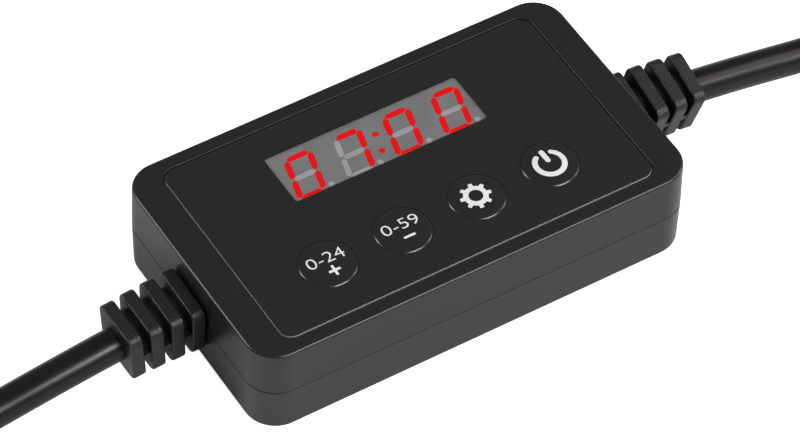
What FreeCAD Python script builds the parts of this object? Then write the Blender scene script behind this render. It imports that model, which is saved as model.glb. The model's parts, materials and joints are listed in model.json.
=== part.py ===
import FreeCAD, Part
import math
import os
import re
import Sketcher

# Aquarium light controller: a small timer box in two shells, with a four-digit display and four
# buttons under a printed film, and a lead at each end. Millimetres. The origin is the middle of the
# case's base, +X runs along the case towards the output lead, +Y away from the buttons, +Z up.

SIZES = [
    # Case
    ("case_length", 66.0, "over the case at its parting line"),
    ("case_width", 37.3, "over the case at its parting line"),
    ("case_height", 14.3, "base to the top face"),
    ("case_corner", 4.6, "corner radius seen from above"),
    ("seam_height", 7.1, "height of the parting line"),
    ("draft_angle", 1.0, "degrees, each shell leans in from the seam"),
    ("crown_round", 0.4, "round along the top edge"),
    ("base_round", 0.5, "round along the base edge"),
    ("seam_bevel", 0.12, "bevel on both shells along the seam"),
    ("wall", 1.6, "side walls"),
    ("roof", 1.8, "roof of the upper shell"),
    ("base_wall", 1.6, "floor of the lower shell"),
    ("lip_thick", 0.7, "lip of the lower shell, inside the seam"),
    ("lip_rise", 1.2, "height of the lip"),
    ("lip_gap", 0.1, "room round the lip"),
    # Printed film and its window
    ("film_length", 56.4, "printed film"),
    ("film_width", 32.4, "printed film"),
    ("film_corner", 1.9, "corner radius of the film"),
    ("film_thick", 0.3, "film, level with the top face"),
    ("film_gap", 0.2, "groove round the film"),
    ("window_length", 29.4, "clear window in the film"),
    ("window_width", 8.5, "clear window in the film"),
    ("window_corner", 0.4, "corner radius of the window"),
    ("window_gap", 0.03, "joint round the window"),
    ("window_x", -0.45, "middle of the window"),
    ("window_y", 7.4, "middle of the window"),
    # Display
    ("display_length", 30.1, "display housing"),
    ("display_width", 10.0, "display housing"),
    ("display_height", 6.1, "display housing above the board"),
    ("display_gap", 0.2, "room round the display in the roof"),
    ("digit_pitch", 7.5, "from digit to digit"),
    ("digit_width", 4.35, "over one digit"),
    ("digit_height", 7.5, "over one digit"),
    ("digit_drop", 0.6, "digits sit this far below the window's middle"),
    ("digit_slant", 13.5, "degrees"),
    ("bar_width", 0.86, "one bar of a digit"),
    ("bar_gap", 0.1, "between neighbouring bars"),
    ("bar_depth", 0.8, "depth of the clear bars"),
    ("bar_play", 0.03, "round a bar in its slot"),
    ("dot_radius", 0.45, "decimal points and colon"),
    ("dot_reach", 2.2, "decimal point, right of its digit's middle"),
    ("dot_low", 3.05, "decimal point, below its digit's middle"),
    ("colon_spread", 2.9, "between the colon's dots"),
    ("pin_radius", 0.25, "display pin"),
    ("pin_pitch", 2.54, "display pins"),
    ("pin_rows", 7.62, "between the two rows of pins"),
    ("pin_tail", 1.1, "pin below the board"),
    # Buttons and their switches
    ("button_first", -17.1, "middle of the first button"),
    ("button_pitch", 11.3, "from button to button"),
    ("button_y", -8.0, "middle of the buttons"),
    ("dome_radius", 3.9, "raised dome"),
    ("dome_rise", 0.4, "middle of the dome above the film"),
    ("dome_edge", 0.12, "upright edge of the dome above the film"),
    ("dome_gap", 0.08, "room round a dome"),
    ("dome_well", 0.6, "room for a dome to go down"),
    ("well_gap", 0.3, "well round a dome in the roof"),
    ("switch_side", 6.0, "switch body"),
    ("switch_body_height", 3.3, "switch body under its cover"),
    ("switch_cover_thick", 0.2, "steel cover"),
    ("switch_height", 6.0, "board to the plunger's tip"),
    ("plunger_radius", 1.75, "plunger"),
    ("plunger_gap", 0.1, "room round the plunger"),
    ("plunger_flange_radius", 2.35, "plunger flange inside the body"),
    ("plunger_flange_thick", 0.6, "plunger flange inside the body"),
    ("plunger_foot_height", 1.7, "plunger's foot above the board"),
    ("cavity_radius", 2.55, "hollow of the switch body"),
    ("cavity_bottom", 1.1, "floor of the switch body"),
    ("snap_rise", 0.25, "snap dome"),
    ("snap_thick", 0.1, "snap dome"),
    ("switch_leg_width", 0.7, "switch leg"),
    ("switch_leg_length", 1.0, "switch leg"),
    ("switch_leg_thick", 0.2, "switch leg"),
    ("switch_leg_spread", 4.5, "between the two legs of a side"),
    # Board and what stands on it
    ("board_end_room", 10.0, "from the board's ends to the ends of the case"),
    ("board_width", 30.0, "circuit board"),
    ("board_thick", 1.6, "circuit board"),
    ("board_corner", 1.0, "circuit board"),
    ("can_radius", 2.5, "can of the capacitor"),
    ("can_gap", 0.5, "between the can and the floor of the case"),
    ("board_screw_inset", 2.0, "board screws, in from both edges of the board"),
    ("board_post_radius", 1.9, "board posts"),
    ("board_hole_radius", 1.0, "screw holes of the board"),
    # Screws
    ("case_screw_inset", 5.8, "case screws, in from both sides of the case"),
    ("case_post_radius", 2.6, "posts of the case screws"),
    ("case_sink_radius", 2.1, "well for a screw head in the base"),
    ("case_sink_depth", 2.2, "well for a screw head in the base"),
    ("case_clear_radius", 1.15, "case screw through the lower post"),
    ("case_shank_radius", 0.95, "case screw"),
    ("case_shank_length", 7.6, "case screw"),
    ("case_head_radius", 1.9, "case screw"),
    ("case_head_thick", 1.3, "case screw"),
    ("board_shank_radius", 0.8, "board screw"),
    ("board_shank_length", 4.8, "board screw"),
    ("board_head_radius", 1.7, "board screw"),
    ("board_head_thick", 1.2, "board screw"),
    ("fit_gap", 0.05, "between pieces that fit closely"),
    ("screw_tip_room", 0.5, "beyond the tip of a screw"),
    ("slot_width", 0.5, "arm of the cross recess in a screw head"),
    ("slot_depth", 0.6, "cross recess in a screw head"),
    ("slot_share", 0.65, "arm of the cross recess, share of the head's width"),
    # Strain reliefs
    ("neck_radius", 2.95, "strain relief in the end wall"),
    ("neck_gap", 0.1, "room round the neck"),
    ("flange_radius", 4.2, "strain relief inside the end wall"),
    ("flange_thick", 1.4, "strain relief inside the end wall"),
    ("flange_gap", 0.1, "between the flange and the wall"),
    ("plate_count", 4, "plates of a strain relief"),
    ("plate_pitch", 2.95, "from plate to plate"),
    ("plate_thick", 1.95, "one plate"),
    ("plate_start", 0.15, "from the case to the first plate"),
    ("plate_wide_near", 9.0, "first plate"),
    ("plate_wide_far", 8.0, "last plate"),
    ("plate_tall_near", 8.1, "first plate"),
    ("plate_tall_far", 8.4, "last plate"),
    ("plate_corner", 1.2, "corner radius of the plates"),
    ("plate_edge", 0.28, "round along the plates' edges"),
    ("web_thick", 0.85, "small web between two plates"),
    ("web_low", 0.15, "webs below the lead's middle"),
    ("web_inset", 0.12, "webs behind the plates' sides"),
    ("input_droop", 5.7, "degrees, bend of the input relief"),
    ("output_droop", 7.5, "degrees, bend of the output relief"),
    ("input_sway", 14.0, "degrees, plane of that bend from upright"),
    ("output_sway", 12.0, "degrees, plane of that bend from upright"),
    ("input_roll", 3.0, "degrees, input relief turned in its hole"),
    ("output_roll", 14.0, "degrees, output relief turned in its hole"),
    # Leads
    ("lead_radius", 2.35, "round jacket"),
    ("jacket_inset", 4.4, "end of the jacket inside the case, from the case's end"),
    ("wire_radius", 0.7, "one insulated wire"),
    ("wire_spread", 1.9, "between the two wires of a lead"),
    ("wire_level_run", 1.8, "level run of the wires out of the jacket"),
    ("wire_board_gap", 1.6, "wires reach the board's level this far from its edge"),
    ("wire_board_run", 3.2, "wires under the board"),
    ("hank_radius", 14.1, "far fold of a hank, middle of the lead"),
    ("hank_run", 37.0, "between the folds of a hank"),
    ("waist_draw", 2.0, "each run of a hank drawn in at its tie"),
    ("hank_aside", 5.2, "middle of a hank from the leads' line"),
    ("beside_gap", 3.7, "between a hank's first run and its connector's lead"),
    ("turn_gap", 0.5, "between two turns lying on each other"),
    ("tie_thick", 0.5, "tie round a hank"),
    ("tie_width", 4.0, "tie round a hank"),
    ("tie_gap", 0.25, "room round the lead in its tie"),
    # Connectors
    ("grip_radius", 5.5, "moulded grip"),
    ("grip_length", 19.0, "moulded grip"),
    ("grip_round", 0.8, "edge round of the grip"),
    ("boot_length", 10.0, "tapered boot behind the grip"),
    ("boot_tip_radius", 3.1, "boot at the lead"),
    ("boot_root_radius", 4.5, "boot at the grip"),
    ("boot_slots", 3, "slots round the boot"),
    ("boot_slot_width", 1.0, "slots round the boot"),
    ("boot_core_radius", 2.9, "floor of the slots"),
    ("plug_radius", 2.75, "outside of the plug's barrel"),
    ("plug_wall", 0.45, "barrel"),
    ("plug_length", 9.5, "barrel in front of the grip"),
    ("plug_bore_radius", 1.05, "hole in the plug"),
    ("plug_bore_depth", 8.5, "hole in the plug"),
    ("plug_lining", 0.6, "insulating ring"),
    ("plug_play", 0.02, "between the plug's sleeves"),
    ("socket_radius", 4.7, "socket sleeve"),
    ("socket_length", 12.0, "socket sleeve in front of the grip"),
    ("socket_bore_radius", 2.85, "hole of the socket"),
    ("socket_bore_depth", 10.5, "hole of the socket"),
    ("socket_pin_radius", 1.0, "pin in the socket"),
    ("socket_pin_short", 1.0, "pin's tip behind the mouth"),
    ("spring_thick", 0.25, "leaf spring in the socket"),
    ("spring_width", 1.6, "leaf spring in the socket"),
    ("spring_length", 7.0, "leaf spring in the socket"),
    ("spring_stand", 0.1, "leaf spring proud of the hole's wall"),
]

doc = FreeCAD.newDocument("LightController")
sheet = doc.addObject("Spreadsheet::Sheet", "Sizes")
for row, (alias, number, note) in enumerate(SIZES, start=1):
    sheet.set("A%d" % row, alias)
    sheet.set("B%d" % row, str(number))
    sheet.setAlias("B%d" % row, alias)
    sheet.set("C%d" % row, note)
doc.recompute()

ALIASES = {alias for alias, number, note in SIZES}
Vector = FreeCAD.Vector
UP = Vector(0, 0, 1)
ALONG = Vector(1, 0, 0)
QUARTER = 90
sub_parts = []


class Reader:
    """Reads a size from the sheet by its alias."""

    def __getattr__(self, alias):
        return float(sheet.get(alias))


size = Reader()


def bound(text):
    """An expression in which every alias points to its cell."""
    return re.sub(r"[a-z_]+", lambda word: "Sizes." + word[0] if word[0] in ALIASES else word[0], str(text))


def bind(thing, **sizes):
    for name, text in sizes.items():
        thing.setExpression(name.replace("__", "."), bound(text))


def place(thing, x=0, y=0, z=0):
    bind(thing, Placement__Base__x=x, Placement__Base__y=y, Placement__Base__z=z)


def keep(thing, label):
    """Names a finished sub-part, which becomes the file of that name."""
    thing.Label = label
    sub_parts.append(thing)
    return thing


# Primitives and booleans

def block(name, length, width, height, x=0, y=0, z=0):
    """A box centred on x and y that stands on z."""
    box = doc.addObject("Part::Box", name)
    bind(box, Length=length, Width=width, Height=height)
    place(box, "%s - (%s) / 2" % (x, length), "%s - (%s) / 2" % (y, width), z)
    return box


def rod(name, radius, height, x=0, y=0, z=0, direction=UP):
    cylinder = doc.addObject("Part::Cylinder", name)
    cylinder.Placement.Rotation = FreeCAD.Rotation(UP, direction)
    bind(cylinder, Radius=radius, Height=height)
    place(cylinder, x, y, z)
    return cylinder


def taper(name, low_radius, high_radius, height, z=0):
    cone = doc.addObject("Part::Cone", name)
    bind(cone, Radius1=low_radius, Radius2=high_radius, Height=height)
    place(cone, z=z)
    return cone


def joined(name, things):
    whole = doc.addObject("Part::MultiFuse", name)
    whole.Shapes = things
    return whole


def without(name, base, tools):
    rest = doc.addObject("Part::Cut", name)
    rest.Base = base
    rest.Tool = tools[0] if len(tools) == 1 else joined(name + "_tools", tools)
    return rest


def group(name, things):
    whole = doc.addObject("Part::Compound", name)
    whole.Links = things
    return whole


def rounded(name, base, radius, chosen):
    """Rounds the edges of a boolean's result that chosen accepts."""
    doc.recompute()
    fillet = doc.addObject("Part::Fillet", name)
    fillet.Base = base
    numbers = [number for number, edge in enumerate(base.Shape.Edges, start=1) if chosen(edge)]
    fillet.Edges = [(number, radius, radius) for number in numbers]
    return fillet


def shaped(label, shape):
    feature = doc.addObject("Part::Feature", label)
    feature.Shape = shape
    return keep(feature, label)


# Sketched bodies

def new_body(label):
    return keep(doc.addObject("PartDesign::Body", label), label)


def origin_plane(body, role):
    return next(plane for plane in body.Origin.OriginFeatures if plane.Role == role)


def new_sketch(body, name, x=0, y=0, z=0, role="XY_Plane"):
    sketch = body.newObject("Sketcher::SketchObject", name)
    sketch.AttachmentSupport = [(origin_plane(body, role), "")]
    sketch.MapMode = "FlatFace"
    bind(sketch, AttachmentOffset__Base__x=x, AttachmentOffset__Base__y=y, AttachmentOffset__Base__z=z)
    return sketch


def draw_circle(sketch, radius):
    index = sketch.addGeometry(Part.Circle(Vector(), UP, 1.0), False)
    sketch.addConstraint(Sketcher.Constraint("Coincident", index, 3, -1, 1))
    number = sketch.addConstraint(Sketcher.Constraint("Radius", index, 1.0))
    bind(sketch, **{"Constraints[%d]" % number: radius})
    return sketch


def draw_rectangle(sketch, length, width, radius):
    """A rectangle with rounded corners about the sketch's own origin."""
    rule = Sketcher.Constraint
    half_x, half_y, bend = 10.0, 6.0, 1.0
    inner_x, inner_y = half_x - bend, half_y - bend
    lines = [((-inner_x, -half_y), (inner_x, -half_y)), ((half_x, -inner_y), (half_x, inner_y)),
             ((inner_x, half_y), (-inner_x, half_y)), ((-half_x, inner_y), (-half_x, -inner_y))]
    centres = [(inner_x, -inner_y), (inner_x, inner_y), (-inner_x, inner_y), (-inner_x, -inner_y)]
    sides = [sketch.addGeometry(Part.LineSegment(Vector(*start), Vector(*end)), False) for start, end in lines]
    bends = []
    for step, centre in enumerate(centres):
        circle = Part.Circle(Vector(*centre), UP, bend)
        start = math.radians(QUARTER * (step - 1))
        bends.append(sketch.addGeometry(Part.ArcOfCircle(circle, start, start + math.radians(QUARTER)), False))
    for step in range(4):
        sketch.addConstraint(rule("Tangent", sides[step], 2, bends[step], 1))
        sketch.addConstraint(rule("Tangent", bends[step], 2, sides[(step + 1) % 4], 1))
    for step in range(1, 4):
        sketch.addConstraint(rule("Equal", bends[0], bends[step]))
    for step in (0, 2):
        sketch.addConstraint(rule("Horizontal", sides[step]))
        sketch.addConstraint(rule("Vertical", sides[step + 1]))
    sketch.addConstraint(rule("Symmetric", bends[1], 3, bends[3], 3, -1, 1))
    across = sketch.addConstraint(rule("DistanceX", sides[3], 1, sides[1], 1, 2 * half_x))
    along = sketch.addConstraint(rule("DistanceY", sides[0], 1, sides[2], 1, 2 * half_y))
    turn = sketch.addConstraint(rule("Radius", bends[0], bend))
    bind(sketch, **{"Constraints[%d]" % across: length, "Constraints[%d]" % along: width,
                    "Constraints[%d]" % turn: radius})
    return sketch


def pad(body, sketch, length, reverse=False, lean=None):
    feature = body.newObject("PartDesign::Pad", sketch.Name + "_pad")
    feature.Profile = sketch
    feature.Reversed = reverse
    bind(feature, Length=length)
    if lean:
        bind(feature, TaperAngle=lean)
    return feature


def pocket(body, sketch, depth, reverse=False):
    feature = body.newObject("PartDesign::Pocket", sketch.Name + "_pocket")
    feature.Profile = sketch
    feature.Reversed = reverse
    bind(feature, Length=depth)
    return feature


def dress(body, kind, name, base, chosen, **sizes):
    """Rounds or bevels the edges of a body's last feature that chosen accepts."""
    doc.recompute()
    names = ["Edge%d" % number for number, edge in enumerate(base.Shape.Edges, start=1) if chosen(edge)]
    feature = body.newObject(kind, name)
    feature.Base = (base, names)
    bind(feature, **sizes)
    return feature


def level_at(height):
    """Accepts the edges that lie wholly at one height."""
    return lambda edge: all(abs(point.z - height) < 1e-4 for point in edge.discretize(3))


# Where the pieces stand, from the sizes above

film_floor = "(case_height - film_thick)"
roof_under = "(case_height - roof)"
board_top = "(case_height - film_thick - display_height)"
board_under = "(case_height - film_thick - display_height - board_thick)"
buttons = ["plus", "minus", "set", "power"]
corners = [(-1, -1), (1, -1), (1, 1), (-1, 1)]


def button_x(step):
    return "(button_first + %d * button_pitch)" % step


def board_screw_x(side):
    return "(%d * (case_length / 2 - board_end_room - board_screw_inset))" % side


def board_screw_y(side):
    return "(%d * (board_width / 2 - board_screw_inset))" % side


def case_screw_x(side):
    return "(%d * (case_length / 2 - case_screw_inset))" % side


def case_screw_y(side):
    return "(%d * (case_width / 2 - case_screw_inset))" % side


# Upper shell

def shell_blank(body, part, height, rounding, reverse, end_level):
    outline = draw_rectangle(new_sketch(body, part + "_outline", z="seam_height"),
                             "case_length", "case_width", "case_corner")
    blank = pad(body, outline, height, reverse=reverse, lean="-draft_angle")
    edge = dress(body, "PartDesign::Fillet", part + "_round", blank, level_at(end_level), Radius=rounding)
    return dress(body, "PartDesign::Chamfer", part + "_bevel", edge, level_at(size.seam_height), Size="seam_bevel")


def relief_opening(body, part):
    ring = draw_circle(new_sketch(body, part + "_neck", y="seam_height", role="YZ_Plane"),
                       "neck_radius + neck_gap")
    opening = pocket(body, ring, "2 * case_length")
    opening.Midplane = True


def upper_shell():
    body = new_body("upper_shell")
    shell_blank(body, "upper", "case_height - seam_height", "crown_round", False, size.case_height)
    hollow = draw_rectangle(new_sketch(body, "upper_hollow", z="seam_height"), "case_length - 2 * wall",
                            "case_width - 2 * wall", "case_corner - wall")
    pocket(body, hollow, "case_height - roof - seam_height", reverse=True)
    rebate = draw_rectangle(new_sketch(body, "upper_rebate", z="seam_height"),
                            "case_length - 2 * (wall - lip_thick - lip_gap)",
                            "case_width - 2 * (wall - lip_thick - lip_gap)",
                            "case_corner - wall + lip_thick + lip_gap")
    pocket(body, rebate, "lip_rise + lip_gap", reverse=True)
    recess = draw_rectangle(new_sketch(body, "film_recess", z="case_height"), "film_length + 2 * film_gap",
                            "film_width + 2 * film_gap", "film_corner + film_gap")
    pocket(body, recess, "film_thick")
    opening = draw_rectangle(new_sketch(body, "display_opening", "window_x", "window_y", "case_height"),
                             "display_length + 2 * display_gap", "display_width + 2 * display_gap",
                             "window_corner")
    pocket(body, opening, "roof")
    for step, button in enumerate(buttons):
        well = draw_circle(new_sketch(body, button + "_well", button_x(step), "button_y", "case_height"),
                           "dome_radius + well_gap")
        pocket(body, well, "film_thick + dome_well")
        hole = draw_circle(new_sketch(body, button + "_hole", button_x(step), "button_y", "case_height"),
                           "plunger_radius + well_gap")
        pocket(body, hole, "roof")
    for step, (side_x, side_y) in enumerate(corners):
        x, y = board_screw_x(side_x), board_screw_y(side_y)
        post = draw_circle(new_sketch(body, "board_post_%d" % step, x, y, roof_under), "board_post_radius")
        pad(body, post, "%s - %s" % (roof_under, board_top), reverse=True)
        pilot = draw_circle(new_sketch(body, "board_pilot_%d" % step, x, y, board_top),
                            "board_shank_radius + fit_gap")
        pocket(body, pilot, "board_shank_length - board_thick + screw_tip_room", reverse=True)
        x, y = case_screw_x(side_x), case_screw_y(side_y)
        post = draw_circle(new_sketch(body, "case_post_%d" % step, x, y, roof_under), "case_post_radius")
        pad(body, post, "%s - seam_height" % roof_under, reverse=True)
        pilot = draw_circle(new_sketch(body, "case_pilot_%d" % step, x, y, "seam_height"),
                            "case_shank_radius + fit_gap")
        pocket(body, pilot, "case_sink_depth + case_shank_length + screw_tip_room - seam_height", reverse=True)
    relief_opening(body, "upper")
    return body


# Lower shell

def lower_shell():
    body = new_body("lower_shell")
    shell_blank(body, "lower", "seam_height", "base_round", True, 0.0)
    hollow = draw_rectangle(new_sketch(body, "lower_hollow", z="seam_height"), "case_length - 2 * wall",
                            "case_width - 2 * wall", "case_corner - wall")
    pocket(body, hollow, "seam_height - base_wall")
    lip = new_sketch(body, "lower_lip", z="seam_height")
    draw_rectangle(lip, "case_length - 2 * (wall - lip_thick)", "case_width - 2 * (wall - lip_thick)",
                   "case_corner - wall + lip_thick")
    draw_rectangle(lip, "case_length - 2 * wall", "case_width - 2 * wall", "case_corner - wall")
    pad(body, lip, "lip_rise")
    for step, (side_x, side_y) in enumerate(corners):
        x, y = case_screw_x(side_x), case_screw_y(side_y)
        post = draw_circle(new_sketch(body, "foot_post_%d" % step, x, y, "base_wall"), "case_post_radius")
        pad(body, post, "seam_height - base_wall")
        hole = draw_circle(new_sketch(body, "foot_hole_%d" % step, x, y, "seam_height"), "case_clear_radius")
        pocket(body, hole, "seam_height")
        sink = draw_circle(new_sketch(body, "foot_sink_%d" % step, x, y, "0"), "case_sink_radius")
        pocket(body, sink, "case_sink_depth", reverse=True)
    relief_opening(body, "lower")
    return body


# Film and window

def panel_film():
    body = new_body("panel_film")
    outline = draw_rectangle(new_sketch(body, "film_outline", z=film_floor), "film_length", "film_width",
                             "film_corner")
    pad(body, outline, "film_thick")
    opening = draw_rectangle(new_sketch(body, "film_window", "window_x", "window_y", "case_height"),
                             "window_length + 2 * window_gap", "window_width + 2 * window_gap",
                             "window_corner + window_gap")
    pocket(body, opening, "film_thick")
    for step, button in enumerate(buttons):
        hole = draw_circle(new_sketch(body, button + "_opening", button_x(step), "button_y", "case_height"),
                           "dome_radius + dome_gap")
        pocket(body, hole, "film_thick")


def display_window():
    body = new_body("display_window")
    outline = draw_rectangle(new_sketch(body, "window_outline", "window_x", "window_y", film_floor),
                             "window_length", "window_width", "window_corner")
    pad(body, outline, "film_thick")


# Display: each bar of a digit is a slanted bar with pointed ends

def slanted(x, y):
    return Vector(x + y * math.tan(math.radians(size.digit_slant)), y, 0)


def bar_outline(middle_x, middle_y, half_length, half_width, upright):
    tip = half_length - half_width
    outline = [(-half_length, 0), (-tip, half_width), (tip, half_width), (half_length, 0),
               (tip, -half_width), (-tip, -half_width)]
    if upright:
        outline = [(y, x) for x, y in outline]
    return [slanted(middle_x + x, middle_y + y) for x, y in outline]


def digit_bars(play):
    """Outlines of the seven bars about the digit's middle."""
    half_width = size.bar_width / 2 + play
    side = (size.digit_width - size.bar_width) / 2
    top = (size.digit_height - size.bar_width) / 2
    flat_half = side - size.bar_gap + play
    tall_half = top / 2 - size.bar_gap + play
    flats = [bar_outline(0, y, flat_half, half_width, False) for y in (top, 0, -top)]
    talls = [bar_outline(x, y, tall_half, half_width, True) for x in (-side, side) for y in (top / 2, -top / 2)]
    return flats + talls


def display_figures(play, depth):
    """Solids of all bars and dots, cut into the display's face from above."""
    base = size.case_height - size.film_thick - depth
    shapes = []
    for step in range(4):
        middle = Vector(size.window_x + (step - 1.5) * size.digit_pitch, size.window_y - size.digit_drop, base)
        for outline in digit_bars(play):
            points = [middle + point for point in outline]
            shapes.append(Part.Face(Part.makePolygon(points + points[:1])).extrude(UP * depth))
        dot = middle + Vector(size.dot_reach, -size.dot_low, 0)
        shapes.append(Part.makeCylinder(size.dot_radius + play, depth, dot))
    middle = Vector(size.window_x, size.window_y - size.digit_drop, base)
    for side in (-1, 1):
        dot = middle + slanted(0, side * size.colon_spread / 2)
        shapes.append(Part.makeCylinder(size.dot_radius + play, depth, dot))
    return shapes


def display():
    shell = block("display_block", "display_length", "display_width", "display_height",
                  "window_x", "window_y", board_top)
    slots = doc.addObject("Part::Feature", "display_slots")
    slots.Shape = Part.makeCompound(display_figures(size.bar_play, size.bar_depth))
    keep(without("display_housing", shell, [slots]), "display_housing")
    shaped("display_segments", Part.makeCompound(display_figures(0.0, size.bar_depth - size.bar_play)))


def pin_place(step, row):
    x = "(window_x + (%.1f) * pin_pitch)" % (step - 2.5)
    y = "(window_y + (%d) * pin_rows / 2)" % row
    return x, y


def display_pins():
    pins = []
    for row in (-1, 1):
        for step in range(6):
            x, y = pin_place(step, row)
            pins.append(rod("pin_%d_%d" % (step, row + 1), "pin_radius", "board_thick + pin_tail",
                            x, y, "%s - pin_tail" % board_under))
    keep(group("display_pins", pins), "display_pins")


# Buttons: a dome in the film on top of the plunger of a switch

def button_dome(step, button):
    disc = rod(button + "_disc", "dome_radius", "film_thick + 2 * dome_rise", button_x(step), "button_y",
               film_floor)
    ball = doc.addObject("Part::Sphere", button + "_ball")
    cap = "(dome_rise - dome_edge)"
    ball_radius = "((dome_radius * dome_radius + %s * %s) / (2 * %s))" % (cap, cap, cap)
    bind(ball, Radius=ball_radius)
    place(ball, button_x(step), "button_y", "case_height + dome_rise - %s" % ball_radius)
    crown = doc.addObject("Part::Common", button + "_crown")
    crown.Base = disc
    crown.Tool = ball
    tip = "(%s + switch_height)" % board_top
    stud = rod(button + "_stud", "plunger_radius", "%s - %s" % (film_floor, tip), button_x(step), "button_y", tip)
    keep(joined(button + "_button_dome", [crown, stud]), button + "_button_dome")


def switch_plunger(step, button):
    foot = "(%s + plunger_foot_height)" % board_top
    stem = rod(button + "_stem", "plunger_radius", "switch_height - plunger_foot_height",
               button_x(step), "button_y", foot)
    flange = rod(button + "_flange", "plunger_flange_radius", "plunger_flange_thick", button_x(step), "button_y",
                 "%s + switch_body_height - plunger_flange_thick - plunger_gap" % board_top)
    keep(joined(button + "_switch_plunger", [stem, flange]), button + "_switch_plunger")


def switch_body(step, button):
    case = block(button + "_case", "switch_side", "switch_side", "switch_body_height",
                 button_x(step), "button_y", board_top)
    hollow = rod(button + "_hollow", "cavity_radius", "switch_body_height", button_x(step), "button_y",
                 "%s + cavity_bottom" % board_top)
    keep(without(button + "_switch_body", case, [hollow]), button + "_switch_body")


def switch_covers():
    covers = []
    for step, button in enumerate(buttons):
        plate = block(button + "_plate", "switch_side", "switch_side", "switch_cover_thick",
                      button_x(step), "button_y", "%s + switch_body_height" % board_top)
        hole = rod(button + "_plate_hole", "plunger_radius + plunger_gap", "3 * switch_cover_thick",
                   button_x(step), "button_y", "%s + switch_body_height - switch_cover_thick" % board_top)
        covers.append(without(button + "_cover", plate, [hole]))
    keep(group("switch_covers", covers), "switch_covers")


def snap_domes():
    """A shallow steel cap under each plunger: the shell between two balls."""
    domes = []
    foot = "(%s + cavity_bottom)" % board_top
    outer = "((cavity_radius * cavity_radius + snap_rise * snap_rise) / (2 * snap_rise))"
    for step, button in enumerate(buttons):
        disc = rod(button + "_snap_disc", "cavity_radius - plunger_gap", "2 * snap_rise",
                   button_x(step), "button_y", foot)
        balls = []
        for shell, drop in (("outer", "0"), ("inner", "snap_thick")):
            ball = doc.addObject("Part::Sphere", "%s_snap_%s" % (button, shell))
            bind(ball, Radius="%s - %s" % (outer, drop))
            place(ball, button_x(step), "button_y", "%s + snap_rise - %s" % (foot, outer))
            balls.append(ball)
        cap = doc.addObject("Part::Common", button + "_snap_cap")
        cap.Base = disc
        cap.Tool = balls[0]
        domes.append(without(button + "_snap", cap, balls[1:]))
    keep(group("switch_snap_domes", domes), "switch_snap_domes")


def switch_legs():
    legs = []
    for step, button in enumerate(buttons):
        for number, (side_x, side_y) in enumerate(corners):
            x = "(%s + %d * (switch_side + switch_leg_length) / 2)" % (button_x(step), side_x)
            y = "(button_y + %d * switch_leg_spread / 2)" % side_y
            legs.append(block("%s_leg_%d" % (button, number), "switch_leg_length", "switch_leg_width",
                              "switch_leg_thick", x, y, board_top))
    keep(group("switch_legs", legs), "switch_legs")


# Circuit board and its components

def circuit_board():
    body = new_body("circuit_board")
    outline = draw_rectangle(new_sketch(body, "board_outline", z=board_under),
                             "case_length - 2 * board_end_room", "board_width", "board_corner")
    pad(body, outline, "board_thick")
    for step, (side_x, side_y) in enumerate(corners):
        hole = draw_circle(new_sketch(body, "board_hole_%d" % step, board_screw_x(side_x),
                                      board_screw_y(side_y), board_top), "board_hole_radius")
        pocket(body, hole, "board_thick")
    for row in (-1, 1):
        for step in range(6):
            x, y = pin_place(step, row)
            hole = draw_circle(new_sketch(body, "pin_hole_%d_%d" % (step, row + 1), x, y, board_top),
                               "pin_radius + fit_gap")
            pocket(body, hole, "board_thick")


# Length, width and height of each component's body, and the place of its middle on the board

COMPONENTS = {
    "microcontroller": (9.9, 3.9, 1.5, -5.0, -4.5),
    "transistor": (6.1, 6.6, 2.3, 14.0, 6.0),
    "regulator": (6.5, 3.5, 1.6, -12.5, 5.5),
    "capacitor": (5.3, 5.3, 0.7, -15.5, -5.5),
    "diode": (4.3, 2.6, 2.0, -19.2, 6.0),
    "resistor": (0.8, 1.6, 0.45, -9.0, -9.5),
    "ceramic": (1.25, 2.0, 0.8, 10.0, -4.0),
}


def under_board(label, length, width, height, x, y):
    """A flat component soldered to the underside of the board."""
    return block(label, length, width, height, x, y, "%s - %s" % (board_under, height))


def component(kind):
    return under_board(kind + "_body", *COMPONENTS[kind])


def component_row(kind, count, pitch):
    length, width, height, x, y = COMPONENTS[kind]
    return group(kind + "_row", [under_board("%s_%d" % (kind, step), length, width, height, x + step * pitch, y)
                                 for step in range(count)])


def microcontroller():
    length, width, height, x, y = COMPONENTS["microcontroller"]
    lead_pitch, lead_width, lead_length, lead_thick = 1.27, 0.42, 1.05, 0.25
    keep(component("microcontroller"), "microcontroller")
    leads = []
    for step in range(8):
        for side in (-1, 1):
            leads.append(under_board("chip_lead_%d_%d" % (step, side + 1), lead_width, lead_length, lead_thick,
                                     x + (step - 3.5) * lead_pitch, y + side * (width + lead_length) / 2))
    keep(group("chip_leads", leads), "microcontroller_leads")


def power_parts():
    """The transistor that switches the lamp, the regulator with its tab, and the can of the capacitor."""
    length, width, height, x, y = COMPONENTS["transistor"]
    tab_length, tab_width, tab_height = 1.6, 5.2, 0.5
    tab = under_board("transistor_tab", tab_length, tab_width, tab_height, x + (length + tab_length) / 2, y)
    keep(joined("transistor_parts", [component("transistor"), tab]), "power_transistor")
    length, width, height, x, y = COMPONENTS["regulator"]
    tab_length, tab_width, tab_height = 3.2, 1.7, 0.3
    tab = under_board("regulator_tab", tab_length, tab_width, tab_height, x, y + (width + tab_width) / 2)
    keep(joined("regulator_parts", [component("regulator"), tab]), "voltage_regulator")
    x, y = COMPONENTS["capacitor"][-2:]
    can = rod("capacitor_can", "can_radius", "%s - base_wall - can_gap" % board_under, x, y, "base_wall + can_gap")
    keep(joined("capacitor_parts", [component("capacitor"), can]), "input_capacitor")


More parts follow.
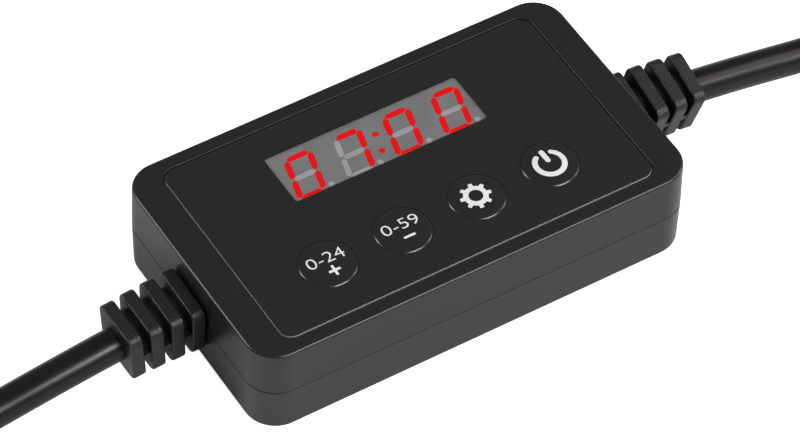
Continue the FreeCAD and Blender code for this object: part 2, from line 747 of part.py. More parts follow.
def small_parts():
    crystal_radius, crystal_length, crystal_x, crystal_y = 1.0, 6.0, 1.5, -3.5
    keep(rod("crystal_can", crystal_radius, crystal_length, crystal_x, crystal_y,
             "%s - %s" % (board_under, crystal_radius), ALONG), "clock_crystal")
    keep(component("diode"), "protection_diode")
    row_pitch = 2.2
    keep(component_row("resistor", 8, row_pitch), "chip_resistors")
    keep(component_row("ceramic", 4, row_pitch), "chip_capacitors")


# Screws: shank upward, head below, with a cross recess

def screw(name, prefix, x, y, seat):
    shank = rod(name + "_shank", prefix + "_shank_radius", prefix + "_shank_length", x, y, seat)
    head = rod(name + "_head", prefix + "_head_radius", prefix + "_head_thick", x, y,
               "%s - %s_head_thick" % (seat, prefix))
    arm = "(%s_head_radius * 2 * slot_share)" % prefix
    bottom = "%s - %s_head_thick" % (seat, prefix)
    arms = [block(name + "_arm_x", arm, "slot_width", "slot_depth", x, y, bottom),
            block(name + "_arm_y", "slot_width", arm, "slot_depth", x, y, bottom)]
    return without(name, joined(name + "_blank", [shank, head]), arms)


def screws():
    case = [screw("case_screw_%d" % step, "case", case_screw_x(side_x), case_screw_y(side_y),
                  "case_sink_depth") for step, (side_x, side_y) in enumerate(corners)]
    keep(group("case_screw_set", case), "case_screws")
    board = [screw("board_screw_%d" % step, "board", board_screw_x(side_x),
                   board_screw_y(side_y), board_under) for step, (side_x, side_y) in enumerate(corners)]
    keep(group("board_screw_set", board), "board_screws")


# Paths: straight runs joined by tangent arcs

def routed(points, name=None):
    """A wire along the points, each corner an arc as large as its runs allow."""
    share = 0.45
    edges, start, radii = [], points[0], []
    for before, corner, after in zip(points, points[1:], points[2:]):
        into, out = (corner - before), (after - corner)
        reach = share * min(into.Length, out.Length)
        into.normalize()
        out.normalize()
        half_turn = into.getAngle(out) / 2
        radius = reach / math.tan(half_turn)
        radii.append(radius)
        inward = (out - into).normalize() * (radius / math.cos(half_turn) - radius)
        arc = Part.Arc(corner - into * reach, corner + inward, corner + out * reach)
        edges += [Part.LineSegment(start, corner - into * reach).toShape(), arc.toShape()]
        start = corner + out * reach
    edges.append(Part.LineSegment(start, points[-1]).toShape())
    if name:
        print(name, "arc radii", " ".join("%.1f" % radius for radius in radii))
    return Part.Wire(edges)


def tube(wire, radius, name):
    """A round tube along a wire, checked against its section times its length."""
    first = wire.OrderedEdges[0]
    start = first.valueAt(first.FirstParameter)
    heading = first.tangentAt(first.FirstParameter)
    ring = Part.Wire(Part.Circle(start, heading, radius).toShape())
    solid = wire.makePipeShell([ring], True, False)
    ratio = solid.Volume / (math.pi * radius ** 2 * wire.Length)
    print(name, "length %.2f volume ratio %.5f valid %s" % (wire.Length, ratio, solid.isValid()))
    return solid


def arc_through(start, heading, end):
    """The arc that leaves start along heading and ends at end."""
    chord = end - start
    aside = chord - heading * chord.dot(heading)
    if aside.Length < 1e-6:
        return Part.LineSegment(start, end)
    aside.normalize()
    radius = chord.Length ** 2 / (2 * chord.dot(aside))
    centre = start + aside * radius
    middle = ((start - centre) + (end - centre)).normalize() * radius
    return Part.Arc(start, centre + middle, end)


def biarc(start, heading, end, final):
    """Two arcs that leave start along heading and reach end along final."""
    chord = end - start
    total = heading + final
    spare = 2 * (1 - heading.dot(final))
    reach = chord.Length ** 2 / (4 * chord.dot(heading))
    if spare > 1e-9:
        linear = chord.dot(total)
        reach = (math.sqrt(linear ** 2 + spare * chord.Length ** 2) - linear) / spare
    joint = (start + end + (heading - final) * reach) * 0.5
    second = arc_through(end, final * -1, joint)
    return [arc_through(start, heading, joint).toShape(), second.toShape()]


# Strain reliefs: plates on a round core, bent a little downwards by the lead's weight

def relief_frame(side, reach, droop, sway):
    """Place and directions at a distance along the relief's bent middle line."""
    total = size.plate_start + (size.plate_count - 1) * size.plate_pitch + size.plate_thick
    bend_radius = total / math.radians(droop)
    turn = max(reach, 0.0) / bend_radius
    down = Vector(0, -math.sin(math.radians(sway)), -math.cos(math.radians(sway)))
    outward = ALONG * side
    root = Vector(side * size.case_length / 2, 0, size.seam_height)
    place_there = root + outward * (bend_radius * math.sin(turn)) + down * (bend_radius * (1 - math.cos(turn)))
    if reach < 0:
        place_there = root + outward * reach
    heading = outward * math.cos(turn) + down * math.sin(turn)
    return place_there, heading, down


def relief_end(side, droop, sway):
    total = size.plate_start + (size.plate_count - 1) * size.plate_pitch + size.plate_thick
    return relief_frame(side, total, droop, sway) + (total,)


def relief_line(side, inner, droop, sway, beyond=0.0):
    """The lead's middle line from inside the case to the relief's end."""
    end, heading, down, total = relief_end(side, droop, sway)
    root = relief_frame(side, 0.0, droop, sway)[0]
    middle = relief_frame(side, total / 2, droop, sway)[0]
    edges = [Part.LineSegment(Vector(side * inner, 0, size.seam_height), root).toShape(),
             Part.Arc(root, middle, end).toShape()]
    if beyond:
        edges.append(Part.LineSegment(end, end + heading * beyond).toShape())
    return Part.Wire(edges)


def relief_plate(thick, wide, tall):
    plate = Part.makeBox(thick, wide, tall, Vector(-thick / 2, -wide / 2, -tall / 2))
    long_edges = [edge for edge in plate.Edges if abs(edge.tangentAt(edge.FirstParameter).x) > 0.5]
    plate = plate.makeFillet(size.plate_corner, long_edges)
    rims = [edge for edge in plate.Edges if abs(abs(edge.discretize(3)[1].x) - thick / 2) < 1e-6]
    return plate.makeFillet(size.plate_edge, rims)


def strain_relief(label, side, droop, sway, roll):
    count = int(size.plate_count)
    inner = size.case_length / 2 - size.wall - size.flange_gap
    flange = Part.makeCylinder(size.flange_radius, size.flange_thick,
                               Vector(side * inner, 0, size.seam_height), ALONG * -side)
    core_line = relief_line(side, inner - size.flange_thick / 2, droop, sway)
    pieces = [tube(core_line, size.neck_radius, label + " core")]

    def stand(shape, reach):
        there, heading, down = relief_frame(side, reach, droop, sway)
        shape.Placement = FreeCAD.Placement(there, FreeCAD.Rotation(ALONG, heading * side)).multiply(
            FreeCAD.Placement(Vector(), FreeCAD.Rotation(ALONG, roll)))
        return shape

    for step in range(count):
        far = step / (count - 1)
        wide = size.plate_wide_near + (size.plate_wide_far - size.plate_wide_near) * far
        tall = size.plate_tall_near + (size.plate_tall_far - size.plate_tall_near) * far
        reach = size.plate_start + step * size.plate_pitch + size.plate_thick / 2
        pieces.append(stand(relief_plate(size.plate_thick, wide, tall), reach))
        if step:
            web_width = wide - 2 * size.web_inset
            web = Part.makeBox(size.plate_pitch, web_width, size.web_thick,
                               Vector(-size.plate_pitch / 2, -web_width / 2, -size.web_low - size.web_thick / 2))
            pieces.append(stand(web, reach - size.plate_pitch / 2))
    solid = flange.fuse(pieces).removeSplitter()
    bore = tube(relief_line(side, inner - 2 * size.flange_thick, droop, sway, size.plate_pitch),
                size.lead_radius + size.fit_gap, label + " bore")
    shaped(label, solid.cut(bore))


def lead_wires(name, side):
    """Two insulated wires from the jacket's end to the underside of the board."""
    under = size.case_height - size.film_thick - size.display_height - size.board_thick
    low = under - size.wire_radius - size.fit_gap
    board_end = size.case_length / 2 - size.board_end_room
    jacket_end = size.case_length / 2 - size.jacket_inset
    stations = [(jacket_end, size.seam_height), (jacket_end - size.wire_level_run, size.seam_height),
                (board_end + size.wire_board_gap, low), (board_end - size.wire_board_run, low)]
    for pole, offset in (("positive", 1), ("negative", -1)):
        points = [Vector(side * x, offset * size.wire_spread / 2, z) for x, z in stations]
        shaped("%s_%s_wire" % (name, pole), tube(routed(points), size.wire_radius, name + " " + pole + " wire"))


# Leads: from the relief's end by hand-chosen points to the waist of a flat hank, which lies on the table

LEAD_FIRST_RUN = 8.0
LEAD_POINTS = {
    "input": [(-65.0, 0.0, 3.2), (-76.4, -1.2, 3.1), (-87.4, -4.4, 3.1), (-98.1, -6.9, 3.1), (-104.3, -6.9, 3.1)],
    "output": [(65.0, -1.2, 3.4), (76.8, -1.9, 3.1), (88.4, -4.6, 3.1), (100.3, -6.9, 3.1), (107.3, -6.9, 3.1)],
}


def lead_points(name):
    end, heading = relief_end(*RELIEFS[name][:3])[:2]
    return [end, end + heading * LEAD_FIRST_RUN] + [Vector(*point) for point in LEAD_POINTS[name]]


def hank_stations(name):
    """Places and directions round the hank: out, round the far fold, back over the table, round the near fold."""
    start = lead_points(name)[-1]
    outward = ALONG * RELIEFS[name][0]
    aside = Vector(0, 1, 0)
    layer = 2 * size.lead_radius + size.turn_gap
    waist = start + outward * size.lead_radius
    low_run = size.hank_aside - size.hank_radius
    high_run = size.hank_aside + size.hank_radius
    last_run = low_run - 2 * size.lead_radius - size.beside_gap
    near_radius = (high_run - last_run) / 2

    def station(along, across, height, heading):
        return Vector(waist.x, 0, start.z) + outward * along + aside * across + UP * height, heading

    half = size.hank_run / 2
    return [
        station(size.lead_radius, start.y, 0, outward),
        station(half, low_run, 0, outward),
        station(half + size.hank_radius, size.hank_aside, 0, aside),
        station(half, high_run, 0, outward * -1),
        station(0, high_run - size.waist_draw, layer / 2, outward * -1),
        station(-half, high_run, layer, outward * -1),
        station(-half - near_radius, last_run + near_radius, layer, aside * -1),
        station(-half, last_run, size.grip_radius - start.z, outward),
    ]


def hank_wire(name):
    start = lead_points(name)[-1]
    stations = hank_stations(name)
    edges = [Part.LineSegment(start, stations[0][0]).toShape()]
    for (there, direction), (after, next_direction) in zip(stations, stations[1:]):
        edges += biarc(there, direction, after, next_direction)
    last, direction = stations[-1]
    end = last + direction * (2 * size.lead_radius)
    edges.append(Part.LineSegment(last, end).toShape())
    radii = [edge.Curve.Radius for edge in edges if hasattr(edge.Curve, "Radius")]
    print(name, "hank arc radii", " ".join("%.1f" % radius for radius in radii))
    return Part.Wire(edges), end, direction


def least_gap(wires, radius):
    """Smallest space between stretches of a folded cord that are over half a fold apart."""
    spacing = 2.0
    points = [point for wire in wires for point in wire.discretize(Distance=spacing)]
    skip = int(math.pi * size.hank_radius / spacing / 2)
    gaps = [(points[one] - points[two]).Length for one in range(len(points))
            for two in range(one + skip, len(points))]
    return min(gaps) - 2 * radius


def hank_tie(label, name):
    """A flat band round the two runs of the hank at its waist."""
    stations = hank_stations(name)
    far = stations[4][0]
    near = Vector(far.x, stations[0][0].y, stations[0][0].z)
    across = (far - near).normalize()
    width = ALONG * size.tie_width
    over = width.cross(across).normalize()

    def band(radius):
        sides = [Part.Arc(near + over * radius, near - across * radius, near - over * radius).toShape(),
                 Part.LineSegment(near - over * radius, far - over * radius).toShape(),
                 Part.Arc(far - over * radius, far + across * radius, far + over * radius).toShape(),
                 Part.LineSegment(far + over * radius, near + over * radius).toShape()]
        face = Part.Face(Part.Wire(sides)).translated(width * -0.5)
        return face.extrude(width)

    inner = size.lead_radius + size.tie_gap
    shaped(label, band(inner + size.tie_thick).cut(band(inner)))


RELIEFS = {
    "input": (-1, size.input_droop, size.input_sway, size.input_roll),
    "output": (1, size.output_droop, size.output_sway, size.output_roll),
}


def lead(name):
    side, droop, sway, roll = RELIEFS[name]
    strain_relief(name + "_strain_relief", side, droop, sway, roll)
    jacket = relief_line(side, size.case_length / 2 - size.jacket_inset, droop, sway)
    inner = tube(jacket, size.lead_radius, name + " jacket")
    shaped(name + "_lead_jacket_end", inner)
    lead_wires(name, side)
    points = lead_points(name)
    print(name, "points", " ".join("(%.3f, %.3f, %.3f)" % tuple(point) for point in points))
    run = routed(points, name + " lead")
    shaped(name + "_lead", tube(run, size.lead_radius, name + " lead"))
    folded, end, direction = hank_wire(name)
    shaped(name + "_lead_hank", tube(folded, size.lead_radius, name + " hank"))
    hank_tie(name + "_hank_tie", name)
    print(name, "hank gap to itself %.2f" % least_gap([folded], size.lead_radius))
    print(name, "cord gap to itself %.2f" % least_gap([run, folded], size.lead_radius))
    print(name, "cord in all %.1f" % (run.Length + folded.Length))
    return end, direction


# Connectors, made upright and then laid at the lead's end

def grip(name):
    """A tapered boot with slots, then the moulded grip."""
    boot = taper(name + "_boot", "boot_tip_radius", "boot_root_radius", "boot_length")
    rings = []
    for step in range(int(size.boot_slots)):
        base = "(%d * boot_length / (boot_slots + 1) - boot_slot_width / 2)" % (step + 1)
        ring = rod("%s_ring_%d" % (name, step), "grip_radius", "boot_slot_width", z=base)
        core = rod("%s_core_%d" % (name, step), "boot_core_radius", "boot_slot_width", z=base)
        rings.append(without("%s_slot_%d" % (name, step), ring, [core]))
    ribbed = without(name + "_ribbed", boot, rings)
    handle = rod(name + "_handle", "grip_radius", "grip_length", z="boot_length")
    soft = rounded(name + "_soft", handle, size.grip_round, lambda edge: edge.Closed)
    return joined(name + "_moulding", [ribbed, soft])


def laid(thing, label, there, direction):
    """Lays an upright piece at the lead's end, its own +Z along the lead."""
    whole = group(label + "_laid", [thing])
    whole.Placement = FreeCAD.Placement(there, FreeCAD.Rotation(UP, direction))
    keep(whole, label)


def output_plug(there, direction):
    front = "(boot_length + grip_length)"
    root = "(boot_length + grip_length - plug_lining)"
    laid(grip("output_plug"), "output_plug_grip", there, direction)
    outer = rod("barrel_outer", "plug_radius", "plug_length", z=front)
    inner = rod("barrel_inner", "plug_radius - plug_wall", "2 * plug_length", z=root)
    laid(without("plug_barrel", outer, [inner]), "output_plug_barrel", there, direction)
    liner = rod("liner_outer", "plug_radius - plug_wall - plug_play", "plug_length", z=front)
    bore = rod("liner_bore", "plug_radius - plug_wall - plug_lining", "2 * plug_length", z=root)
    laid(without("plug_insulator", liner, [bore]), "output_plug_insulator", there, direction)
    sleeve = rod("contact_outer", "plug_radius - plug_wall - plug_lining - plug_play", "plug_length - plug_lining",
                 z=front)
    hole = rod("contact_bore", "plug_bore_radius", "plug_length",
               z="%s + plug_length - plug_lining - plug_bore_depth" % front)
    laid(without("plug_contact", sleeve, [hole]), "output_plug_contact", there, direction)


def input_socket(there, direction):
    front = "(boot_length + grip_length)"
    floor = "(%s + socket_length - socket_bore_depth)" % front
    laid(grip("input_socket"), "input_socket_grip", there, direction)
    outer = rod("sleeve_outer", "socket_radius", "socket_length", z=front)
    inner = rod("sleeve_bore", "socket_bore_radius", "socket_length", z=floor)
    slot = block("spring_slot", "spring_thick + plug_play", "spring_width + 2 * plug_play",
                 "spring_length + plug_play", "socket_bore_radius + (spring_thick + plug_play) / 2 - spring_stand",
                 0, floor)
    laid(without("socket_sleeve", outer, [inner, slot]), "input_socket_sleeve", there, direction)
    pin = rod("socket_pin_rod", "socket_pin_radius", "socket_bore_depth - socket_pin_short", z=floor)
    laid(pin, "input_socket_pin", there, direction)
    spring = block("spring_leaf", "spring_thick", "spring_width", "spring_length",
                   "socket_bore_radius + spring_thick / 2 - spring_stand", 0, floor)
    laid(spring, "input_socket_spring", there, direction)


upper_shell()
lower_shell()
panel_film()
display_window()
display()
display_pins()
for button_step, button_name in enumerate(buttons):
    button_dome(button_step, button_name)
    switch_plunger(button_step, button_name)
    switch_body(button_step, button_name)
switch_covers()
snap_domes()
switch_legs()
circuit_board()
microcontroller()
power_parts()
small_parts()
screws()
input_socket(*lead("input"))
output_plug(*lead("output"))

# Checks, then one file for each sub-part

doc.recompute()
for thing in doc.Objects:
    if thing.TypeId in ("PartDesign::Pocket", "PartDesign::Pad") and thing.BaseFeature:
        change = thing.Shape.Volume - thing.BaseFeature.Shape.Volume
        expected = 1 if thing.TypeId == "PartDesign::Pad" else -1
        if change * expected < 1e-6:
            raise RuntimeError("%s goes the wrong way" % thing.Label)
for thing in doc.Objects:
    if "Invalid" in thing.State or "Error" in thing.State:
        raise RuntimeError("%s failed: %s" % (thing.Label, thing.State))
for thing in sub_parts:
    if thing.Shape.isNull() or not thing.Shape.isValid() or not thing.Shape.Solids:
        raise RuntimeError("%s has no valid shape" % thing.Label)
os.makedirs("parts", exist_ok=True)
for thing in sub_parts:
    box = thing.Shape.BoundBox
    print("%-28s solids %2d volume %10.3f  x %8.2f %8.2f  y %8.2f %8.2f  z %6.2f %6.2f" % (
        thing.Label, len(thing.Shape.Solids), thing.Shape.Volume,
        box.XMin, box.XMax, box.YMin, box.YMax, box.ZMin, box.ZMax))
    thing.Shape.exportStep("parts/%s.step" % thing.Label)
print("sub-parts", len(sub_parts))
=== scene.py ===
import json
import math

import bmesh
import bpy
from mathutils import Matrix, Vector


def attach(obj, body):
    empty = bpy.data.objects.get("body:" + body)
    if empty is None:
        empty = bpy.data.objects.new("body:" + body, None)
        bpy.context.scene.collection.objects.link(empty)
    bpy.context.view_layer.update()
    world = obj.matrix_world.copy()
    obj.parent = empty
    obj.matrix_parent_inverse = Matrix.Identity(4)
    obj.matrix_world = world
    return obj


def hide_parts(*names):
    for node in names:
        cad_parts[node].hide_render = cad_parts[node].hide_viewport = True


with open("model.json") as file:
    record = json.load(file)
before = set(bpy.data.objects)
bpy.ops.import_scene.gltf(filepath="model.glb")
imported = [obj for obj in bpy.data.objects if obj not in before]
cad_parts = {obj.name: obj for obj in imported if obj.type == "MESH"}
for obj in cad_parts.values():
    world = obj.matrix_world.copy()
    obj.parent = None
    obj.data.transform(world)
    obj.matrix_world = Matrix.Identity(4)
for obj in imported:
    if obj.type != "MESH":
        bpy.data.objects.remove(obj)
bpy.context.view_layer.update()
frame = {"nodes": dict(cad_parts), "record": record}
nodes = frame["nodes"]

MM = 0.001
TURN = math.tau
BUTTON_X = {"plus": -17.1, "minus": -5.8, "set": 5.5, "power": 16.8}
BUTTON_Y = -8.0


def mm(x, y, z):
    return Vector((x, y, z)) * MM


# Camera

def set_camera():
    lens = bpy.data.cameras.new("camera")
    lens.lens = 213.254
    lens.sensor_width = 36.0
    lens.clip_start = 0.05
    lens.clip_end = 20.0
    eye = bpy.data.objects.new("camera", lens)
    eye.location = mm(-223.147, -342.544, 478.659)
    eye.rotation_euler = [math.radians(angle) for angle in (40.81604, -1.30185, -31.44321)]
    bpy.context.scene.collection.objects.link(eye)
    bpy.context.scene.camera = eye


# Finishes

class Field:
    """A number that changes over a surface, with the plain operators."""

    def __init__(self, board, socket):
        self.board = board
        self.socket = socket

    def maths(self, operation, *values):
        return self.board.node("ShaderNodeMath", {"operation": operation}, values)

    def __add__(self, other):
        return self.maths("ADD", self, other)

    def __radd__(self, other):
        return self.maths("ADD", other, self)

    def __sub__(self, other):
        return self.maths("SUBTRACT", self, other)

    def __rsub__(self, other):
        return self.maths("SUBTRACT", other, self)

    def __mul__(self, other):
        return self.maths("MULTIPLY", self, other)

    def __rmul__(self, other):
        return self.maths("MULTIPLY", other, self)

    def __pow__(self, other):
        return self.maths("POWER", self, other)

    def over(self, level):
        return self.maths("GREATER_THAN", self, level)

    def most(self, other):
        return self.maths("MAXIMUM", self, other)

    def size(self):
        return self.maths("ABSOLUTE", self)


class Board:
    """A tree of nodes, laid and linked by plain calls."""

    def __init__(self, tree):
        self.tree = tree

    def feed(self, socket, value):
        if isinstance(value, Field):
            self.tree.links.new(value.socket, socket)
        elif socket.type == "RGBA":
            socket.default_value = (*value[:3], 1.0)
        else:
            socket.default_value = value

    def node(self, kind, settings, values, output=0):
        """Adds a node. Its values go to its inputs by name or in order."""
        made = self.tree.nodes.new(kind)
        for name, setting in settings.items():
            setattr(made, name, setting)
        pairs = values.items() if isinstance(values, dict) else enumerate(values)
        for socket, value in pairs:
            self.feed(made.inputs[socket], value)
        return Field(self, made.outputs[output])


class Finish(Board):
    """A material made of one shader. Colours and numbers may be plain or change over the surface."""

    def __init__(self, name, **fixed):
        self.material = bpy.data.materials.new(name)
        self.material.use_nodes = True
        super().__init__(self.material.node_tree)
        self.shader = self.tree.nodes["Principled BSDF"]
        for socket, value in fixed.items():
            self.set(socket.replace("_", " "), value)

    def set(self, socket, value):
        self.feed(self.shader.inputs[socket], value)

    def place(self, size=1.0, stretch=(1, 1, 1)):
        """Object coordinates in units of size millimetres, stretched by shares of it."""
        where = self.node("ShaderNodeTexCoord", {}, (), "Object")
        return self.node("ShaderNodeMapping", {}, {
            "Vector": where, "Scale": [share / size / MM for share in stretch]})

    def grain(self, size, detail=2.0, rough=0.5, stretch=(1, 1, 1)):
        """Noise from 0 to 1 whose spots are about size millimetres across."""
        return self.node("ShaderNodeTexNoise", {"noise_dimensions": "3D"}, {
            "Vector": self.place(size, stretch), "Scale": 1.0, "Detail": detail, "Roughness": rough})

    def cells(self, size):
        """Distance to the middle of round cells about size millimetres across."""
        return self.node("ShaderNodeTexVoronoi", {"feature": "F1"},
                         {"Vector": self.place(size), "Scale": 1.0})

    def mix(self, share, first, second):
        """A colour between two others."""
        made = self.tree.nodes.new("ShaderNodeMix")
        made.data_type = "RGBA"
        self.feed(made.inputs[0], share)
        self.feed(made.inputs[6], first)
        self.feed(made.inputs[7], second)
        return Field(self, made.outputs[2])

    def part(self, vector, axis):
        """One coordinate of a vector, by the number of its axis."""
        return self.node("ShaderNodeSeparateXYZ", {}, [vector], axis)

    def emboss(self, height, depth):
        """Bumps that are depth millimetres deep for a height of 1."""
        self.set("Normal", self.node("ShaderNodeBump", {}, {
            "Height": height, "Strength": 1.0, "Distance": depth * MM}))


SEAM_MIDDLE = 7.07
SEAM_HALF = 0.11


def moulded_case():
    """Finely grained black plastic, dull where the two shells meet, and darkened there with painted shade.
    """
    finish = Finish("moulded_case", IOR=1.47)
    seam_dull_and_shade = 1 - (finish.part(finish.place(), 2) - SEAM_MIDDLE).size().over(SEAM_HALF)
    pits = finish.grain(0.16, 3.0, 0.6)
    sway = finish.grain(9.0)
    black = finish.mix(sway, (0.0075, 0.0075, 0.0082), (0.0105, 0.0103, 0.0105))
    # painted shade: the band along the seam is darker in colour, standing in for the shade in the joint;
    # its extra roughness is real dullness
    finish.set("Base Color", finish.mix(seam_dull_and_shade, black, (0.004, 0.004, 0.004)))
    finish.set("Roughness", 0.25 + 0.06 * sway + 0.07 * pits + 0.4 * seam_dull_and_shade)
    finish.emboss(pits + 2.0 * finish.grain(3.5, 1.0), 0.0025)
    return finish


FILM_LENGTH = 56.4
FILM_WIDTH = 32.4
FILM_CORNER = 1.9
EDGE_HIGHLIGHT_WIDTH = 0.05
FILM_TOP = 14.3
FILM_BOTTOM = 14.0


def printed_film():
    """Black print under clear film, with a painted highlight: its side walls at the border are pale."""
    finish = Finish("printed_film", IOR=1.47)
    ink = finish.grain(6.0, 3.0, 0.6)
    skin = finish.grain(0.35)
    black = finish.mix(ink, (0.0095, 0.0096, 0.0099), (0.0125, 0.0122, 0.0122))
    spot = finish.place()
    across = (finish.part(spot, 0).size() - (FILM_LENGTH / 2 - FILM_CORNER)).most(0.0)
    along = (finish.part(spot, 1).size() - (FILM_WIDTH / 2 - FILM_CORNER)).most(0.0)
    outside = ((across * across + along * along) ** 0.5).over(FILM_CORNER - EDGE_HIGHLIGHT_WIDTH)
    edge_highlight = outside * (1 - finish.part(spot, 2).over(FILM_TOP - EDGE_HIGHLIGHT_WIDTH))
    # painted highlight: the film's side walls at its border are made pale, standing in for the line of
    # light the edge catches
    finish.set("Base Color", finish.mix(edge_highlight, black, (0.3, 0.3, 0.3)))
    finish.set("Roughness", 0.2 + 0.04 * ink + 0.05 * skin)
    finish.emboss(skin + 3.0 * finish.grain(5.0, 1.0), 0.0016)
    return finish


def white_ink():
    """Screen print, slightly uneven."""
    finish = Finish("white_ink", IOR=1.45)
    speck = finish.grain(0.12, 3.0, 0.65)
    finish.set("Base Color", finish.mix(speck, (0.57, 0.57, 0.57), (0.71, 0.71, 0.7)))
    finish.set("Roughness", 0.4 + 0.15 * speck)
    finish.emboss(speck, 0.003)
    return finish


def smoked_window():
    """Clear film with a faint dark tint and haze."""
    finish = Finish("smoked_window", IOR=1.3)
    haze = finish.grain(3.0, 3.0, 0.6)
    finish.set("Base Color", finish.mix(haze, (0.01, 0.01, 0.0105), (0.018, 0.018, 0.0185)))
    finish.set("Roughness", 0.1 + 0.12 * haze)
    finish.set("Alpha", 0.16 + 0.08 * haze)
    return finish


def display_grey():
    """The grey face between the bars of the display."""
    finish = Finish("display_grey", IOR=1.45)
    dust = finish.grain(0.5, 4.0, 0.65)
    finish.set("Base Color", finish.mix(dust, (0.31, 0.31, 0.312), (0.36, 0.36, 0.363)))
    finish.set("Roughness", 0.45 + 0.2 * dust)
    finish.emboss(dust, 0.004)
    return finish


def bar_resin(name, colour, light, power):
    """Milky resin of a display bar, with the light of its lamp."""
    finish = Finish(name, IOR=1.2, Emission_Strength=power)
    milk = finish.grain(0.7, 3.0, 0.6)
    dim = [share * 0.86 for share in colour]
    finish.set("Base Color", finish.mix(milk, dim, colour))
    finish.set("Roughness", 0.3 + 0.2 * milk)
    if power:
        finish.set("Emission Color", finish.mix(milk, [share * 0.8 for share in light], light))
    else:
        finish.set("Emission Color", light)
    finish.emboss(milk, 0.004)
    return finish


# A relief's middle line has this height at its far end, and rises towards the case
RELIEF_REACH = 43.95
RELIEF_HEIGHT = 6.49
RELIEF_SLOPE = 0.1
SLOT_DEPTH = 3.5


def rubbery():
    """Matt soft moulding with the fine pits of an eroded tool, dull at the bottom of its slots, which are
    also darkened there with painted shade.
    """
    finish = Finish("soft_moulding", IOR=1.45)
    spot = finish.place()
    short = RELIEF_REACH - finish.part(spot, 0).size()
    rise = finish.part(spot, 2) - RELIEF_HEIGHT - RELIEF_SLOPE * short
    across = finish.part(spot, 1)
    slot = (1 - ((across * across + rise * rise) ** 0.5).over(SLOT_DEPTH)) * short.over(1.0)
    pits = finish.grain(0.3, 4.0, 0.75)
    fine = finish.cells(0.22)
    sway = finish.grain(4.0)
    black = finish.mix(sway, (0.0045, 0.0045, 0.005), (0.007, 0.0069, 0.007))
    # painted shade: the bottoms of the slots between the plates are darker in colour, as if no light
    # reached them; the added roughness there is real dullness
    finish.set("Base Color", finish.mix(slot, black, (0.001, 0.001, 0.001)))
    finish.set("Roughness", 0.26 + 0.08 * sway + 0.12 * pits + 0.5 * slot)
    finish.emboss(pits + 0.6 * fine + 0.8 * sway, 0.06)
    return finish


def cable_jacket():
    """Smooth extruded jacket: long faint waves, a few scuffs."""
    finish = Finish("cable_jacket", IOR=1.38)
    slow = finish.grain(7.0)
    scuff = finish.grain(0.5, 3.0, 0.6, (0.12, 1, 1))
    finish.set("Base Color", finish.mix(slow, (0.0035, 0.0035, 0.0038), (0.0055, 0.0054, 0.0055)))
    finish.set("Roughness", 0.26 + 0.05 * slow + 0.06 * scuff)
    finish.emboss(scuff + 2.0 * slow, 0.004)
    return finish


def plain_plastic(name, low, high, roughness, spot=0.5, depth=0.006):
    """Plastic, resin or ceramic, cloudy between two colours."""
    finish = Finish(name, IOR=1.47)
    cloud = finish.grain(spot, 3.0, 0.6)
    finish.set("Base Color", finish.mix(cloud, low, high))
    finish.set("Roughness", roughness - 0.06 + 0.12 * cloud)
    finish.emboss(cloud, depth)
    return finish


def drawn_metal(name, low, high, roughness, stretch=(0.15, 1, 1)):
    """Metal with the fine lines of drawing or rolling."""
    finish = Finish(name, Metallic=1.0)
    lines = finish.grain(0.12, 3.0, 0.6, stretch)
    tarnish = finish.grain(1.8, 3.0, 0.6)
    finish.set("Base Color", finish.mix(tarnish, low, high))
    finish.set("Roughness", roughness - 0.07 + 0.1 * lines + 0.06 * tarnish)
    finish.emboss(lines, 0.003)
    return finish


def green_board():
    """Green lacquer over copper tracks, which show as paler raised lines."""
    finish = Finish("green_board", IOR=1.5)
    track = finish.node("ShaderNodeTexBrick", {"offset": 0.5, "squash": 0.7, "squash_frequency": 3}, {
        "Vector": finish.place(2.2), "Color1": (1, 1, 1), "Color2": (1, 1, 1), "Mortar": (0, 0, 0),
        "Scale": 1.0, "Mortar Size": 0.09, "Mortar Smooth": 0.2, "Brick Width": 1.9, "Row Height": 0.42})
    weave = finish.grain(0.3)
    lacquer = finish.mix(track, (0.03, 0.2, 0.07), (0.012, 0.105, 0.034))
    finish.set("Base Color", finish.mix(0.25 * weave, lacquer, (0.02, 0.08, 0.03)))
    finish.set("Roughness", 0.24 + 0.12 * weave)
    finish.emboss((1 - track) + 0.2 * weave, 0.02)
    return finish


